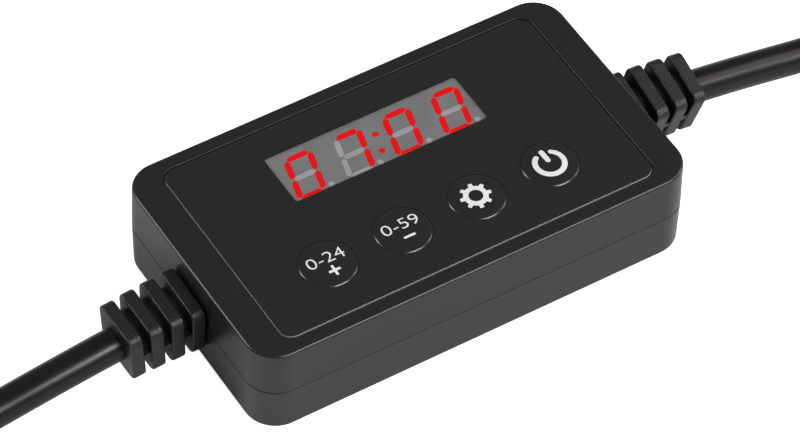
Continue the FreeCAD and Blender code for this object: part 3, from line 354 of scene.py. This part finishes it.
def set_finishes():
    """The finishes by the record's slot names."""
    return {
        "case": moulded_case(),
        "film": printed_film(),
        "window": smoked_window(),
        "display_face": display_grey(),
        "segments": bar_resin("unlit_bars", (0.66, 0.65, 0.65), (0, 0, 0), 0.0),
        "tinned_metal": drawn_metal("tinned_metal", (0.6, 0.59, 0.57), (0.74, 0.73, 0.71), 0.32),
        "switch_steel": drawn_metal("spring_steel", (0.5, 0.5, 0.5), (0.64, 0.64, 0.64), 0.28),
        "switch_plastic": plain_plastic("switch_plastic", (0.018, 0.018, 0.019), (0.03, 0.03, 0.031), 0.45),
        "board": green_board(),
        "chip": plain_plastic("chip_resin", (0.015, 0.015, 0.016), (0.028, 0.028, 0.029), 0.55, 0.15, 0.01),
        "capacitor_can": drawn_metal("bright_can", (0.68, 0.68, 0.69), (0.8, 0.8, 0.81), 0.22, (1, 1, 0.1)),
        "ceramic": plain_plastic("ceramic", (0.33, 0.2, 0.11), (0.45, 0.3, 0.17), 0.5, 0.3),
        "screw_steel": drawn_metal("zinc_plate", (0.48, 0.48, 0.49), (0.62, 0.62, 0.62), 0.3, (1, 1, 0.3)),
        "relief": rubbery(),
        "jacket": cable_jacket(),
        "red_wire": plain_plastic("red_insulation", (0.42, 0.012, 0.01), (0.5, 0.02, 0.016), 0.35),
        "black_wire": plain_plastic("black_insulation", (0.012, 0.012, 0.012), (0.02, 0.02, 0.02), 0.35),
        "tie": plain_plastic("tie_band", (0.016, 0.016, 0.017), (0.026, 0.026, 0.027), 0.42, 0.3),
        "plated_metal": drawn_metal("nickel_plate", (0.62, 0.6, 0.57), (0.72, 0.7, 0.67), 0.2, (0.1, 1, 1)),
        "insulator": plain_plastic("insulating_ring", (0.5, 0.38, 0.06), (0.62, 0.48, 0.1), 0.4),
    }


def dress(piece, finish):
    """Gives a piece one finish in place of what it had."""
    piece.data.materials.clear()
    piece.data.materials.append(finish.material)


set_camera()
finishes = set_finishes()
ink = white_ink()
for row in frame["record"]["subparts"]:
    dress(nodes[row["node"]], finishes[row["material_slot"]])


# Leads: the route's points, then a hank of one loop and a half, then the run to the connector.
# The hank lies in two layers. Its runs are placed across from the waist, where the lead comes in.

LEAD_RADIUS = 2.35
LOW_LEVEL = 3.1
LAYER = 5.2
GRIP_LEVEL = 5.5
HANK_RADIUS = 14.1
HANK_HALF = 18.5
HANK_ASIDE = 5.2
HANK_DRAWN = 2.0
WAIST_JOIN = (6.4, 14.5)
LAST_RUN = -17.3
LAST_LEVELS = [8.1, 6.9, 5.65]
LAST_BEND = 2.0
FOLD_STEP = 30


def fold_points(along, across, radius, heights, sign):
    """Control points of half a turn about a centre, from +Y to -Y with sign -1 and back with sign 1."""
    outer = sign * radius / math.cos(math.radians(FOLD_STEP / 2))
    points = []
    for step, height in enumerate(heights):
        angle = math.radians((step + 0.5) * FOLD_STEP - 90)
        points.append((along + outer * math.cos(angle), across + outer * math.sin(angle), height))
    return points


def hank_points(start, side):
    """Control points from the waist round both folds to the connector's run, about the waist's middle."""
    waist = start[0] + side * LEAD_RADIUS
    high = LOW_LEVEL + LAYER
    low_run, far_run = HANK_ASIDE - HANK_RADIUS, HANK_ASIDE + HANK_RADIUS
    near_radius = (far_run - LAST_RUN) / 2
    points = [(WAIST_JOIN[0], start[1], LOW_LEVEL), (WAIST_JOIN[1], low_run, LOW_LEVEL)]
    points += fold_points(HANK_HALF, HANK_ASIDE, HANK_RADIUS, [LOW_LEVEL] * 6, 1)
    quarter, drawn_run, climb = HANK_HALF / 4, far_run - HANK_DRAWN, LOW_LEVEL + LAYER / 2
    points += [(3 * quarter, far_run, LOW_LEVEL), (quarter, drawn_run, climb)]
    points += [(-quarter, drawn_run, climb), (-3 * quarter, far_run, high)]
    points += fold_points(-HANK_HALF, far_run - near_radius, near_radius, [high] * 3 + LAST_LEVELS, -1)
    points += [(-HANK_HALF + LAST_BEND, LAST_RUN, GRIP_LEVEL),
               (-HANK_HALF + 2 * LEAD_RADIUS, LAST_RUN, GRIP_LEVEL)]
    return [(waist + side * along, across, height) for along, across, height in points]


LEADS = {
    "input": {
        "run": [(-43.932, -0.132, 6.572), (-51.892, -0.324, 5.801), (-65.0, 0.0, 3.2), (-76.4, -1.2, 3.1),
                (-87.4, -4.4, 3.1), (-98.1, -6.9, 3.1), (-104.3, -6.9, 3.1)],
        "side": -1,
        "length": 0.2268,
    },
    "output": {
        "run": [(43.919, -0.149, 6.4), (51.85, -0.366, 5.379), (65.0, -1.2, 3.4), (76.8, -1.9, 3.1),
                (88.4, -4.6, 3.1), (100.3, -6.9, 3.1), (107.3, -6.9, 3.1)],
        "side": 1,
        "length": 0.2295,
    },
}


def lay_lead(name):
    lead = LEADS[name]
    points = lead["run"] + hank_points(lead["run"][-1], lead["side"])
    line = bpy.data.curves.new(name + "_cable", "CURVE")
    line.dimensions = "3D"
    line.bevel_depth = LEAD_RADIUS * MM
    line.bevel_resolution = 10
    line.use_fill_caps = True
    spline = line.splines.new("NURBS")
    spline.points.add(len(points) - 1)
    for knot, point in zip(spline.points, points):
        knot.co = (*mm(*point), 1.0)
    spline.order_u = 3
    spline.use_endpoint_u = True
    spline.resolution_u = 10
    line.materials.append(finishes["jacket"].material)
    cable = bpy.data.objects.new(name + "_cable", line)
    bpy.context.scene.collection.objects.link(cable)
    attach(cable, "controller")
    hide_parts(name + "_lead", name + "_lead_hank")
    mm(*points[0])


# Pieces

CREASE = math.radians(35)
SHARP = math.radians(40)


def finished(shape, name, body, slot, node=None):
    """Makes a bmesh a piece that rides on a body and takes its finish from a slot."""
    mesh = bpy.data.meshes.new(name)
    for face in shape.faces:
        face.smooth = True
    for edge in shape.edges:
        edge.smooth = len(edge.link_faces) == 2 and edge.calc_face_angle(0) < CREASE
    shape.to_mesh(mesh)
    shape.free()
    piece = bpy.data.objects.new(name, mesh)
    bpy.context.scene.collection.objects.link(piece)
    mesh.materials.append(finishes[slot].material)
    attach(piece, body)
    if node:
        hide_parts(node)
    return piece


def weigh(piece):
    """Keeps flat faces flat beside small rounds."""
    modifier = piece.modifiers.new("weigh", "WEIGHTED_NORMAL")
    modifier.keep_sharp = True
    modifier.weight = 80
    return piece


def merged(node):
    """A joined-up copy of a CAD node as a bmesh."""
    shape = bmesh.new()
    mesh = nodes[node].data.copy()
    if "custom_normal" in mesh.attributes:
        mesh.attributes.remove(mesh.attributes["custom_normal"])
    shape.from_mesh(mesh)
    bpy.data.meshes.remove(mesh)
    bmesh.ops.remove_doubles(shape, verts=shape.verts, dist=0.0005 * MM)
    bmesh.ops.dissolve_limit(shape, angle_limit=math.radians(0.6), verts=shape.verts, edges=shape.edges,
                             use_dissolve_boundaries=False, delimit={"NORMAL"})
    return shape


def broken(shape, width, chosen, segments=3):
    """Breaks the sharp edges that chosen accepts by a small round."""
    edges = [edge for edge in shape.edges if len(edge.link_faces) == 2
             and edge.calc_face_angle(0) > SHARP and all(chosen(vert.co / MM) for vert in edge.verts)]
    bmesh.ops.bevel(shape, geom=edges, offset=width * MM, offset_type="OFFSET", segments=segments,
                    profile=0.5, affect="EDGES", material=-1, clamp_overlap=True)
    return shape


def turned(profile):
    """A closed shape spun about Z from (radius, height) pairs that start and end on the axis."""
    shape = bmesh.new()
    verts = [shape.verts.new(mm(radius, 0, height)) for radius, height in profile]
    edges = [shape.edges.new(pair) for pair in zip(verts, verts[1:])]
    bmesh.ops.spin(shape, geom=verts + edges, cent=(0, 0, 0), axis=(0, 0, 1), dvec=(0, 0, 0), angle=TURN,
                   steps=128, use_merge=True, use_duplicate=False)
    bmesh.ops.remove_doubles(shape, verts=shape.verts, dist=0.001 * MM)
    bmesh.ops.recalc_face_normals(shape, faces=shape.faces)
    return shape


def level(height, slack=0.002):
    """Accepts the spots at one height."""
    return lambda spot: abs(spot.z - height) < slack


# Case and film

CASE_ROUND = 0.08
FILM_ROUND = 0.1
FILM_BAND = 2.5
WINDOW_LIFT = 0.03


def on_film_border(spot):
    border = abs(spot.x) > FILM_LENGTH / 2 - FILM_BAND or abs(spot.y) > FILM_WIDTH / 2 - FILM_BAND
    return border and level(FILM_TOP)(spot)


def clear_window():
    """The window, with its underside lifted clear of the display."""
    window = merged("display_window")
    for vert in window.verts:
        if vert.co.z < (FILM_BOTTOM + FILM_TOP) / 2 * MM:
            vert.co.z += WINDOW_LIFT * MM
    finished(window, "clear_window", "controller", "window", "display_window")


shell = broken(merged("upper_shell"), CASE_ROUND, level(FILM_TOP))
weigh(finished(shell, "upper_case", "controller", "case", "upper_shell"))
film = broken(merged("panel_film"), FILM_ROUND, on_film_border)
weigh(finished(film, "front_film", "controller", "film", "panel_film"))
clear_window()

# Buttons: a dome in the film, printed in white

PAD_RADIUS = 1.75
PAD_BOTTOM = 13.9
DOME_RADIUS = 3.9
DOME_FOOT = 3.94
DOME_TOP = 14.688
DOME_CAP = 0.28
CAP_RADIUS = (DOME_RADIUS ** 2 + DOME_CAP ** 2) / (2 * DOME_CAP)


def dome_height(radius):
    return DOME_TOP - CAP_RADIUS + math.sqrt(CAP_RADIUS ** 2 - radius ** 2)


def button_dome(button):
    """A shallow dome with a soft foot, and the pad below it that meets the switch."""
    profile = [(0, PAD_BOTTOM), (PAD_RADIUS, PAD_BOTTOM), (PAD_RADIUS, FILM_BOTTOM)]
    profile += [(DOME_FOOT, FILM_BOTTOM), (DOME_FOOT, FILM_TOP - 0.04), (DOME_FOOT - 0.03, FILM_TOP),
                (DOME_FOOT - 0.15, FILM_TOP + 0.1)]
    profile += [(radius, dome_height(radius)) for radius in (3.74, 3.4, 3.0, 2.5, 2.0, 1.5, 1.0, 0.5, 0)]
    shape = turned(profile)
    bmesh.ops.translate(shape, verts=shape.verts, vec=mm(BUTTON_X[button], BUTTON_Y, 0))
    weigh(finished(shape, button + "_dome", button + "_button", "film", button + "_button_dome"))


INK_SINK = 0.004
INK_COAT = 0.014
SIGN_CUT = 0.4
SIGN_CUTS = 9


def printed(shape, name, button, x, y):
    """Lays a flat sign on a dome as a thin coat of ink, cut up finely so that it follows the dome."""
    bmesh.ops.translate(shape, verts=shape.verts, vec=mm(x - BUTTON_X[button], y - BUTTON_Y, 0))
    for axis in (Vector((1, 0, 0)), Vector((0, 1, 0))):
        for step in range(-SIGN_CUTS, SIGN_CUTS + 1):
            bmesh.ops.bisect_plane(shape, geom=shape.verts[:] + shape.edges[:] + shape.faces[:], dist=1e-7,
                                   plane_co=axis * step * SIGN_CUT * MM, plane_no=axis)
    for face in shape.faces:
        if face.normal.z < 0:
            face.normal_flip()
    for vert in shape.verts:
        vert.co.z = (dome_height(vert.co.xy.length / MM) - INK_SINK) * MM
    bottom = shape.faces[:]
    extruded = bmesh.ops.extrude_face_region(shape, geom=bottom, use_keep_orig=True)
    lifted = [part for part in extruded["geom"] if isinstance(part, bmesh.types.BMVert)]
    bmesh.ops.translate(shape, verts=lifted, vec=mm(0, 0, INK_COAT))
    bmesh.ops.reverse_faces(shape, faces=bottom)
    bmesh.ops.recalc_face_normals(shape, faces=shape.faces)
    bmesh.ops.translate(shape, verts=shape.verts, vec=mm(BUTTON_X[button], BUTTON_Y, 0))
    dress(finished(shape, name, button + "_button", "film"), ink)


def figures(words, height, width):
    """Plain numbers in a flat sans letter, centred, of a given height and width in millimetres."""
    letter = bpy.data.curves.new("figures", "FONT")
    letter.body = words
    letter.size = 1.0
    letter.offset = -0.008
    letter.resolution_u = 6
    stand = bpy.data.objects.new("figures", letter)
    bpy.context.scene.collection.objects.link(stand)
    bpy.context.view_layer.update()
    mesh = bpy.data.meshes.new_from_object(stand.evaluated_get(bpy.context.evaluated_depsgraph_get()))
    bpy.data.objects.remove(stand)
    shape = bmesh.new()
    shape.from_mesh(mesh)
    bpy.data.meshes.remove(mesh)
    bmesh.ops.remove_doubles(shape, verts=shape.verts, dist=1e-5)
    low = Vector([min(vert.co[axis] for vert in shape.verts) for axis in range(2)])
    high = Vector([max(vert.co[axis] for vert in shape.verts) for axis in range(2)])
    middle = (low + high) / 2
    bmesh.ops.translate(shape, verts=shape.verts, vec=(-middle.x, -middle.y, 0))
    share_x, share_y = width / (high.x - low.x), height / (high.y - low.y)
    bmesh.ops.scale(shape, verts=shape.verts, vec=(share_x * MM, share_y * MM, 1))
    return shape


def add_bar(shape, length, width, y=0.0):
    """A flat bar with squared ends, along X."""
    made = bmesh.ops.create_grid(shape, x_segments=1, y_segments=1, size=0.5 * MM)["verts"]
    bmesh.ops.scale(shape, verts=made, vec=(length, width, 1))
    bmesh.ops.translate(shape, verts=made, vec=mm(0, y, 0))
    return shape


def plus_sign(length, width):
    """A square with an arm drawn out of each side."""
    shape = add_bar(bmesh.new(), width, width)
    for edge in shape.edges[:]:
        away = (edge.verts[0].co + edge.verts[1].co).normalized()
        arm = bmesh.ops.extrude_edge_only(shape, edges=[edge])["geom"]
        ends = [part for part in arm if isinstance(part, bmesh.types.BMVert)]
        bmesh.ops.translate(shape, verts=ends, vec=away * (length - width) / 2 * MM)
    return shape


def ring(inner, outer, degrees=360):
    """A flat ring, or a part of one that opens upwards."""
    shape = bmesh.new()
    start = math.radians(90 + (360 - degrees) / 2)
    ray = Vector((math.cos(start), math.sin(start), 0)) * MM
    verts = [shape.verts.new(ray * radius) for radius in (inner, outer)]
    edge = shape.edges.new(verts)
    bmesh.ops.spin(shape, geom=verts + [edge], cent=(0, 0, 0), axis=(0, 0, 1), dvec=(0, 0, 0),
                   angle=math.radians(degrees), steps=96, use_merge=degrees == 360, use_duplicate=False)
    bmesh.ops.remove_doubles(shape, verts=shape.verts, dist=0.0005 * MM)
    return shape


TEETH = 8
TOOTH_START = 0.26
TOOTH_TAPER = 0.6


def gear(hole, root, tip):
    """A ring with blunt teeth drawn out of its rim."""
    shape = ring(hole, root)
    pitch = TURN / TEETH
    rim = [edge for edge in shape.edges if len(edge.link_faces) == 1
           and all(vert.co.length > (hole + root) / 2 * MM for vert in edge.verts)]
    crests = []
    for edge in rim:
        middle = (edge.verts[0].co + edge.verts[1].co) / 2
        share = (math.atan2(middle.y, middle.x) / pitch) % 1.0
        if TOOTH_START < share < 1 - TOOTH_START:
            crests.append(edge)
    grown = bmesh.ops.extrude_edge_only(shape, edges=crests)["geom"]
    for vert in [part for part in grown if isinstance(part, bmesh.types.BMVert)]:
        angle = math.atan2(vert.co.y, vert.co.x)
        middle = (math.floor(angle / pitch) + 0.5) * pitch
        narrowed = middle + (angle - middle) * TOOTH_TAPER
        vert.co = Vector((math.cos(narrowed), math.sin(narrowed), 0)) * tip * MM
    return shape


def add_disc(shape, radius, x, y):
    """A small flat disc."""
    made = bmesh.ops.create_circle(shape, cap_ends=True, segments=32, radius=radius * MM)["verts"]
    bmesh.ops.translate(shape, verts=made, vec=mm(x, y, 0))


def power_sign(inner, outer, degrees, low, high):
    """An open ring and an upright stroke, all with round ends."""
    shape = ring(inner, outer, degrees)
    half, middle = (outer - inner) / 2, (outer + inner) / 2
    for side in (-1, 1):
        turn = math.radians(90 + side * (360 - degrees) / 2)
        add_disc(shape, half, middle * math.cos(turn), middle * math.sin(turn))
    add_bar(shape, 2 * half, high - low, (low + high) / 2)
    for y in (low, high):
        add_disc(shape, half, 0, y)
    return shape


def turned_by(shape, degrees):
    turn = Matrix.Rotation(math.radians(degrees), 3, "Z")
    bmesh.ops.rotate(shape, verts=shape.verts, cent=(0, 0, 0), matrix=turn)
    return shape


for button in BUTTON_X:
    button_dome(button)
printed(figures("0-24", 1.8, 5.4), "plus_figures", "plus", -17.03, -7.22)
printed(plus_sign(1.7, 0.36), "plus_mark", "plus", -16.97, -9.56)
printed(figures("0-59", 1.8, 5.4), "minus_figures", "minus", -5.79, -7.22)
printed(add_bar(bmesh.new(), 1.7, 0.34), "minus_mark", "minus", -5.64, -9.47)
printed(turned_by(gear(0.98, 1.68, 2.18), 14), "gear_mark", "set", 5.34, -7.98)
printed(power_sign(1.6, 2.34, 288, 0.5, 2.12), "power_mark", "power", 16.74, -8.02)

# Display: bars that are lit are pieces of their own

DIGITS = "0700"
LIT = {"0": "abcdef", "7": "abc"}
DIGIT_PITCH = 7.5
DISPLAY_X = -0.45
DISPLAY_Y = 6.8
DISPLAY_TOP = 13.97
SLANT = math.tan(math.radians(13.5))
COLON_RISE = 1.45
DOT_REACH = 0.6
POINT_ACROSS = 2.2
BAR_RISE = 2.0
BAR_REACH = 0.9


def bar_name(spot):
    """The digit that a spot belongs to, from the left, and its bar's letter. A point is p."""
    x = spot.x - DISPLAY_X
    y = spot.y - DISPLAY_Y
    upright = x - y * SLANT
    if abs(upright) < DOT_REACH and abs(abs(y) - COLON_RISE) < DOT_REACH:
        return None, "colon"
    step = round(x / DIGIT_PITCH + 1.5)
    across = x - (step - 1.5) * DIGIT_PITCH
    if y < -BAR_RISE - DOT_REACH and abs(across - POINT_ACROSS) < DOT_REACH / 2:
        return step, "p"
    across -= y * SLANT
    if abs(across) < BAR_REACH:
        return step, "a" if y > BAR_RISE else "d" if y < -BAR_RISE else "g"
    if across < 0:
        return step, "f" if y > 0 else "e"
    return step, "b" if y > 0 else "c"


def islands(shape):
    """The faces of a bmesh in lists, one for each loose part."""
    left = set(shape.faces)
    while left:
        queue = [left.pop()]
        found = list(queue)
        while queue:
            for edge in queue.pop().edges:
                for face in edge.link_faces:
                    if face in left:
                        left.remove(face)
                        queue.append(face)
                        found.append(face)
        yield found


def display_bars(name, lit):
    """The bars that are lit, or those that aren't, as one piece."""
    shape = merged("display_segments")
    dropped = []
    for faces in islands(shape):
        spots = [vert.co / MM for face in faces for vert in face.verts]
        middle = sum(spots, Vector()) / len(spots)
        step, bar_letter = bar_name(middle)
        glows = bar_letter == "colon" or (bar_letter != "p" and bar_letter in LIT[DIGITS[step]])
        if glows != lit:
            dropped += faces
    bmesh.ops.delete(shape, geom=dropped, context="FACES")
    broken(shape, 0.06, level(DISPLAY_TOP, 0.01), 2)
    return weigh(finished(shape, name, "controller", "segments", "display_segments"))


display_bars("unlit_display_bars", False)
lit_resin = bar_resin("lit_bars", (0.2, 0.003, 0.003), (1.0, 0.0, 0.0), 1.1)
dress(display_bars("lit_display_bars", True), lit_resin)

# Leads

lay_lead("input")
lay_lead("output")

# Floor, sky and lamps

FLOOR_HALF = 4000
FLOOR_DROP = 0.05
GLOSS_SHARE = 0.08
SKY_DIM = 0.17


def set_stage():
    """A white paper floor, just below the part."""
    shape = bmesh.new()
    bmesh.ops.create_grid(shape, x_segments=1, y_segments=1, size=FLOOR_HALF * MM)
    bmesh.ops.translate(shape, verts=shape.verts, vec=mm(0, 0, -FLOOR_DROP))
    mesh = bpy.data.meshes.new("floor")
    shape.to_mesh(mesh)
    shape.free()
    floor = bpy.data.objects.new("floor", mesh)
    bpy.context.scene.collection.objects.link(floor)
    paper = Finish("floor_paper", Base_Color=(0.75, 0.75, 0.75), Roughness=0.9, IOR=1.2,
                   Emission_Color=(1, 1, 1))
    paper.set("Emission Strength", 0.9 * white_for(paper))
    floor.data.materials.append(paper.material)


def white_for(board):
    """How much of the plain white surroundings a ray sees: all, and in gloss only a little."""
    path = board.tree.nodes.new("ShaderNodeLightPath")
    eye, gloss, through = [Field(board, path.outputs["Is %s Ray" % kind])
                           for kind in ("Camera", "Glossy", "Transmission")]
    return eye + GLOSS_SHARE * gloss + through


def set_sky():
    """White to the eye, and dim as a light."""
    world = bpy.data.worlds.new("sky")
    bpy.context.scene.world = world
    world.use_nodes = True
    board = Board(world.node_tree)
    sky = board.tree.nodes["Background"]
    sky.inputs["Color"].default_value = (1, 1, 1, 1)
    board.feed(sky.inputs["Strength"], SKY_DIM + (1 - SKY_DIM) * white_for(board))


def lamp(name, place, size, power, colour=(1, 1, 1)):
    """A flat lamp that faces the origin. Its place and size are in metres, its power in watts."""
    light = bpy.data.lights.new(name, "AREA")
    light.shape = "RECTANGLE"
    light.size, light.size_y = size
    light.energy = power
    light.color = colour
    stand = bpy.data.objects.new(name, light)
    stand.location = place
    stand.rotation_euler = (-Vector(place)).to_track_quat("-Z", "Y").to_euler()
    stand.visible_camera = False
    bpy.context.scene.collection.objects.link(stand)


set_stage()
set_sky()
lamp("front_box", (0.3, -0.78, 0.8), (0.8, 0.32), 13.5)
lamp("right_box", (0.85, -0.15, 0.55), (0.35, 0.6), 4.2, (1.0, 0.86, 0.83))
lamp("left_strip", (-0.7, 0.6, 0.6), (0.3, 0.5), 6.2, (0.84, 0.93, 1.0))

bpy.context.scene.view_settings.view_transform = "Standard"
